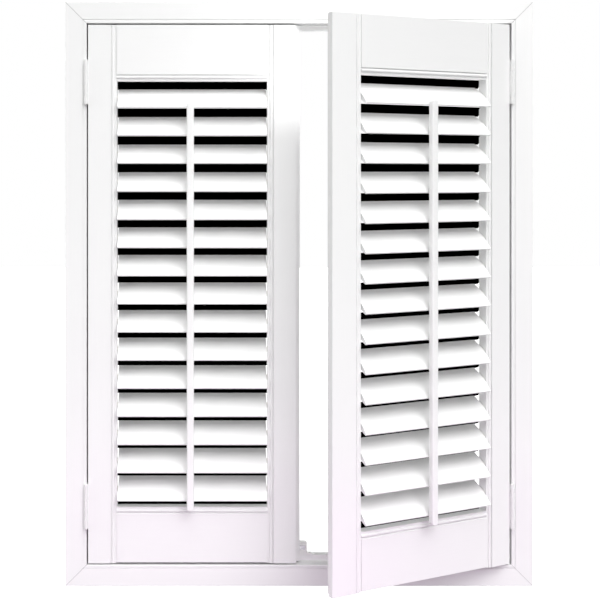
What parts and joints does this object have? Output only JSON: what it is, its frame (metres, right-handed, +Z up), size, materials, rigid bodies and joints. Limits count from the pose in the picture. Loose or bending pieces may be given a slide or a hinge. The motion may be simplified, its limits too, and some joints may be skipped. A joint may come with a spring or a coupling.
{
  "type": "louvred shutters",
  "caption": "Framed pair of hinged window shutters whose tilting louvres are joined by a front rod; one panel is shut and the other stands part open.",
  "frame": {"origin": "middle of the frame's bottom edge, on the plane where the back of the frame's flange lies on the wall", "axes": "+Z up, +X to the right across the frame, -Y towards the room; the frame's face and the shut panel's face lie 14 mm in front of the wall plane"},
  "size_m": [0.926, 0.2457, 1.157],
  "materials": {
    "frame_paint": "satin white paint on wood",
    "panel_paint": "satin white paint on wood",
    "louvre_paint": "satin white paint on wood",
    "rod_paint": "satin white paint on wood",
    "hinges": "white coated steel",
    "screws": "white coated steel",
    "wire": "bright drawn wire",
    "strike_steel": "zinc plated",
    "magnet": "zinc plated poles round a dark ferrite block",
    "catch_plastic": "moulded white",
    "nylon": "natural nylon",
    "key_nylon": "natural nylon"
  },
  "bodies": {
    "frame": {"frame_head": "frame_paint", "frame_sill": "frame_paint", "frame_left_jamb": "frame_paint", "frame_right_jamb": "frame_paint", "frame_corner_keys": "key_nylon", "head_stop": "frame_paint", "sill_stop": "frame_paint", "left_stop": "frame_paint", "right_stop": "frame_paint", "frame_hinge_leaves": "hinges", "hinge_pins": "hinges", "frame_screws": "screws", "catch_body": "catch_plastic", "catch_magnet": "magnet"},
    "left_panel": {"left_hinge_stile": "panel_paint", "left_meeting_stile": "panel_paint", "left_top_rail": "panel_paint", "left_bottom_rail": "panel_paint", "left_louvre_pins": "nylon", "left_hinge_leaves": "hinges", "left_panel_screws": "screws", "left_strike_plate": "strike_steel"},
    "right_panel": {"right_hinge_stile": "panel_paint", "right_meeting_stile": "panel_paint", "right_top_rail": "panel_paint", "right_bottom_rail": "panel_paint", "right_louvre_pins": "nylon", "right_hinge_leaves": "hinges", "right_panel_screws": "screws", "right_strike_plate": "strike_steel"},
    "left_louvre_01": {"left_louvre_01": "louvre_paint"},
    "left_louvre_02": {"left_louvre_02": "louvre_paint"},
    "left_louvre_03": {"left_louvre_03": "louvre_paint"},
    "left_louvre_04": {"left_louvre_04": "louvre_paint"},
    "left_louvre_05": {"left_louvre_05": "louvre_paint"},
    "left_louvre_06": {"left_louvre_06": "louvre_paint"},
    "left_louvre_07": {"left_louvre_07": "louvre_paint"},
    "left_louvre_08": {"left_louvre_08": "louvre_paint"},
    "left_louvre_09": {"left_louvre_09": "louvre_paint"},
    "left_louvre_10": {"left_louvre_10": "louvre_paint"},
    "left_louvre_11": {"left_louvre_11": "louvre_paint"},
    "left_louvre_12": {"left_louvre_12": "louvre_paint"},
    "left_louvre_13": {"left_louvre_13": "louvre_paint"},
    "left_louvre_14": {"left_louvre_14": "louvre_paint"},
    "left_louvre_15": {"left_louvre_15": "louvre_paint"},
    "left_rod": {"left_tilt_rod": "rod_paint", "left_rod_staples": "wire"},
    "right_louvre_01": {"right_louvre_01": "louvre_paint"},
    "right_louvre_02": {"right_louvre_02": "louvre_paint"},
    "right_louvre_03": {"right_louvre_03": "louvre_paint"},
    "right_louvre_04": {"right_louvre_04": "louvre_paint"},
    "right_louvre_05": {"right_louvre_05": "louvre_paint"},
    "right_louvre_06": {"right_louvre_06": "louvre_paint"},
    "right_louvre_07": {"right_louvre_07": "louvre_paint"},
    "right_louvre_08": {"right_louvre_08": "louvre_paint"},
    "right_louvre_09": {"right_louvre_09": "louvre_paint"},
    "right_louvre_10": {"right_louvre_10": "louvre_paint"},
    "right_louvre_11": {"right_louvre_11": "louvre_paint"},
    "right_louvre_12": {"right_louvre_12": "louvre_paint"},
    "right_louvre_13": {"right_louvre_13": "louvre_paint"},
    "right_louvre_14": {"right_louvre_14": "louvre_paint"},
    "right_louvre_15": {"right_louvre_15": "louvre_paint"},
    "right_rod": {"right_tilt_rod": "rod_paint", "right_rod_staples": "wire"}
  },
  "joints": [
    {"name": "left_panel_swing", "type": "hinge", "parent": "frame", "child": "left_panel", "pos_m": [-0.4217, -0.0185, 0.5785], "axis": [0, 0, -1], "range_deg": [0, 170]},
    {"name": "right_panel_swing", "type": "hinge", "parent": "frame", "child": "right_panel", "pos_m": [0.4217, -0.0185, 0.5785], "axis": [0, 0, 1], "range_deg": [-28, 142]},
    {"name": "left_louvre_01_tilt", "type": "hinge", "parent": "left_panel", "child": "left_louvre_01", "pos_m": [-0.21175, -0.0005, 0.967], "axis": [1, 0, 0], "range_deg": [-104, 32]},
    {"name": "left_louvre_02_tilt", "type": "hinge", "parent": "left_panel", "child": "left_louvre_02", "pos_m": [-0.21175, -0.0005, 0.9115], "axis": [1, 0, 0], "range_deg": [-104, 32]},
    {"name": "left_louvre_03_tilt", "type": "hinge", "parent": "left_panel", "child": "left_louvre_03", "pos_m": [-0.21175, -0.0005, 0.856], "axis": [1, 0, 0], "range_deg": [-104, 32]},
    {"name": "left_louvre_04_tilt", "type": "hinge", "parent": "left_panel", "child": "left_louvre_04", "pos_m": [-0.21175, -0.0005, 0.8005], "axis": [1, 0, 0], "range_deg": [-104, 32]},
    {"name": "left_louvre_05_tilt", "type": "hinge", "parent": "left_panel", "child": "left_louvre_05", "pos_m": [-0.21175, -0.0005, 0.745], "axis": [1, 0, 0], "range_deg": [-104, 32]},
    {"name": "left_louvre_06_tilt", "type": "hinge", "parent": "left_panel", "child": "left_louvre_06", "pos_m": [-0.21175, -0.0005, 0.6895], "axis": [1, 0, 0], "range_deg": [-104, 32]},
    {"name": "left_louvre_07_tilt", "type": "hinge", "parent": "left_panel", "child": "left_louvre_07", "pos_m": [-0.21175, -0.0005, 0.634], "axis": [1, 0, 0], "range_deg": [-104, 32]},
    {"name": "left_louvre_08_tilt", "type": "hinge", "parent": "left_panel", "child": "left_louvre_08", "pos_m": [-0.21175, -0.0005, 0.5785], "axis": [1, 0, 0], "range_deg": [-104, 32]},
    {"name": "left_louvre_09_tilt", "type": "hinge", "parent": "left_panel", "child": "left_louvre_09", "pos_m": [-0.21175, -0.0005, 0.523], "axis": [1, 0, 0], "range_deg": [-104, 32]},
    {"name": "left_louvre_10_tilt", "type": "hinge", "parent": "left_panel", "child": "left_louvre_10", "pos_m": [-0.21175, -0.0005, 0.4675], "axis": [1, 0, 0], "range_deg": [-104, 32]},
    {"name": "left_louvre_11_tilt", "type": "hinge", "parent": "left_panel", "child": "left_louvre_11", "pos_m": [-0.21175, -0.0005, 0.412], "axis": [1, 0, 0], "range_deg": [-104, 32]},
    {"name": "left_louvre_12_tilt", "type": "hinge", "parent": "left_panel", "child": "left_louvre_12", "pos_m": [-0.21175, -0.0005, 0.3565], "axis": [1, 0, 0], "range_deg": [-104, 32]},
    {"name": "left_louvre_13_tilt", "type": "hinge", "parent": "left_panel", "child": "left_louvre_13", "pos_m": [-0.21175, -0.0005, 0.301], "axis": [1, 0, 0], "range_deg": [-104, 32]},
    {"name": "left_louvre_14_tilt", "type": "hinge", "parent": "left_panel", "child": "left_louvre_14", "pos_m": [-0.21175, -0.0005, 0.2455], "axis": [1, 0, 0], "range_deg": [-104, 32]},
    {"name": "left_louvre_15_tilt", "type": "hinge", "parent": "left_panel", "child": "left_louvre_15", "pos_m": [-0.21175, -0.0005, 0.19], "axis": [1, 0, 0], "range_deg": [-104, 32]},
    {"name": "left_rod_pivot", "type": "hinge", "parent": "left_louvre_08", "child": "left_rod", "pos_m": [-0.21525, -0.0294, 0.55751], "axis": [1, 0, 0], "range_deg": [-32, 104]},
    {"name": "right_louvre_01_tilt", "type": "hinge", "parent": "right_panel", "child": "right_louvre_01", "pos_m": [0.22787, -0.10117, 0.967], "axis": [0.8829, 0.4695, 0], "range_deg": [-106, 30]},
    {"name": "right_louvre_02_tilt", "type": "hinge", "parent": "right_panel", "child": "right_louvre_02", "pos_m": [0.22787, -0.10117, 0.9115], "axis": [0.8829, 0.4695, 0], "range_deg": [-106, 30]},
    {"name": "right_louvre_03_tilt", "type": "hinge", "parent": "right_panel", "child": "right_louvre_03", "pos_m": [0.22787, -0.10117, 0.856], "axis": [0.8829, 0.4695, 0], "range_deg": [-106, 30]},
    {"name": "right_louvre_04_tilt", "type": "hinge", "parent": "right_panel", "child": "right_louvre_04", "pos_m": [0.22787, -0.10117, 0.8005], "axis": [0.8829, 0.4695, 0], "range_deg": [-106, 30]},
    {"name": "right_louvre_05_tilt", "type": "hinge", "parent": "right_panel", "child": "right_louvre_05", "pos_m": [0.22787, -0.10117, 0.745], "axis": [0.8829, 0.4695, 0], "range_deg": [-106, 30]},
    {"name": "right_louvre_06_tilt", "type": "hinge", "parent": "right_panel", "child": "right_louvre_06", "pos_m": [0.22787, -0.10117, 0.6895], "axis": [0.8829, 0.4695, 0], "range_deg": [-106, 30]},
    {"name": "right_louvre_07_tilt", "type": "hinge", "parent": "right_panel", "child": "right_louvre_07", "pos_m": [0.22787, -0.10117, 0.634], "axis": [0.8829, 0.4695, 0], "range_deg": [-106, 30]},
    {"name": "right_louvre_08_tilt", "type": "hinge", "parent": "right_panel", "child": "right_louvre_08", "pos_m": [0.22787, -0.10117, 0.5785], "axis": [0.8829, 0.4695, 0], "range_deg": [-106, 30]},
    {"name": "right_louvre_09_tilt", "type": "hinge", "parent": "right_panel", "child": "right_louvre_09", "pos_m": [0.22787, -0.10117, 0.523], "axis": [0.8829, 0.4695, 0], "range_deg": [-106, 30]},
    {"name": "right_louvre_10_tilt", "type": "hinge", "parent": "right_panel", "child": "right_louvre_10", "pos_m": [0.22787, -0.10117, 0.4675], "axis": [0.8829, 0.4695, 0], "range_deg": [-106, 30]},
    {"name": "right_louvre_11_tilt", "type": "hinge", "parent": "right_panel", "child": "right_louvre_11", "pos_m": [0.22787, -0.10117, 0.412], "axis": [0.8829, 0.4695, 0], "range_deg": [-106, 30]},
    {"name": "right_louvre_12_tilt", "type": "hinge", "parent": "right_panel", "child": "right_louvre_12", "pos_m": [0.22787, -0.10117, 0.3565], "axis": [0.8829, 0.4695, 0], "range_deg": [-106, 30]},
    {"name": "right_louvre_13_tilt", "type": "hinge", "parent": "right_panel", "child": "right_louvre_13", "pos_m": [0.22787, -0.10117, 0.301], "axis": [0.8829, 0.4695, 0], "range_deg": [-106, 30]},
    {"name": "right_louvre_14_tilt", "type": "hinge", "parent": "right_panel", "child": "right_louvre_14", "pos_m": [0.22787, -0.10117, 0.2455], "axis": [0.8829, 0.4695, 0], "range_deg": [-106, 30]},
    {"name": "right_louvre_15_tilt", "type": "hinge", "parent": "right_panel", "child": "right_louvre_15", "pos_m": [0.22787, -0.10117, 0.19], "axis": [0.8829, 0.4695, 0], "range_deg": [-106, 30]},
    {"name": "right_rod_pivot", "type": "hinge", "parent": "right_louvre_08", "child": "right_rod", "pos_m": [0.24153, -0.12579, 0.55651], "axis": [0.8829, 0.4695, 0], "range_deg": [-30, 106]}
  ],
  "couplings": [
    {"joint": "left_louvre_02_tilt", "follows": "left_louvre_01_tilt", "ratio": 1},
    {"joint": "left_louvre_03_tilt", "follows": "left_louvre_01_tilt", "ratio": 1},
    {"joint": "left_louvre_04_tilt", "follows": "left_louvre_01_tilt", "ratio": 1},
    {"joint": "left_louvre_05_tilt", "follows": "left_louvre_01_tilt", "ratio": 1},
    {"joint": "left_louvre_06_tilt", "follows": "left_louvre_01_tilt", "ratio": 1},
    {"joint": "left_louvre_07_tilt", "follows": "left_louvre_01_tilt", "ratio": 1},
    {"joint": "left_louvre_08_tilt", "follows": "left_louvre_01_tilt", "ratio": 1},
    {"joint": "left_louvre_09_tilt", "follows": "left_louvre_01_tilt", "ratio": 1},
    {"joint": "left_louvre_10_tilt", "follows": "left_louvre_01_tilt", "ratio": 1},
    {"joint": "left_louvre_11_tilt", "follows": "left_louvre_01_tilt", "ratio": 1},
    {"joint": "left_louvre_12_tilt", "follows": "left_louvre_01_tilt", "ratio": 1},
    {"joint": "left_louvre_13_tilt", "follows": "left_louvre_01_tilt", "ratio": 1},
    {"joint": "left_louvre_14_tilt", "follows": "left_louvre_01_tilt", "ratio": 1},
    {"joint": "left_louvre_15_tilt", "follows": "left_louvre_01_tilt", "ratio": 1},
    {"joint": "left_rod_pivot", "follows": "left_louvre_01_tilt", "ratio": -1},
    {"joint": "right_louvre_02_tilt", "follows": "right_louvre_01_tilt", "ratio": 1},
    {"joint": "right_louvre_03_tilt", "follows": "right_louvre_01_tilt", "ratio": 1},
    {"joint": "right_louvre_04_tilt", "follows": "right_louvre_01_tilt", "ratio": 1},
    {"joint": "right_louvre_05_tilt", "follows": "right_louvre_01_tilt", "ratio": 1},
    {"joint": "right_louvre_06_tilt", "follows": "right_louvre_01_tilt", "ratio": 1},
    {"joint": "right_louvre_07_tilt", "follows": "right_louvre_01_tilt", "ratio": 1},
    {"joint": "right_louvre_08_tilt", "follows": "right_louvre_01_tilt", "ratio": 1},
    {"joint": "right_louvre_09_tilt", "follows": "right_louvre_01_tilt", "ratio": 1},
    {"joint": "right_louvre_10_tilt", "follows": "right_louvre_01_tilt", "ratio": 1},
    {"joint": "right_louvre_11_tilt", "follows": "right_louvre_01_tilt", "ratio": 1},
    {"joint": "right_louvre_12_tilt", "follows": "right_louvre_01_tilt", "ratio": 1},
    {"joint": "right_louvre_13_tilt", "follows": "right_louvre_01_tilt", "ratio": 1},
    {"joint": "right_louvre_14_tilt", "follows": "right_louvre_01_tilt", "ratio": 1},
    {"joint": "right_louvre_15_tilt", "follows": "right_louvre_01_tilt", "ratio": 1},
    {"joint": "right_rod_pivot", "follows": "right_louvre_01_tilt", "ratio": -1}
  ]
}
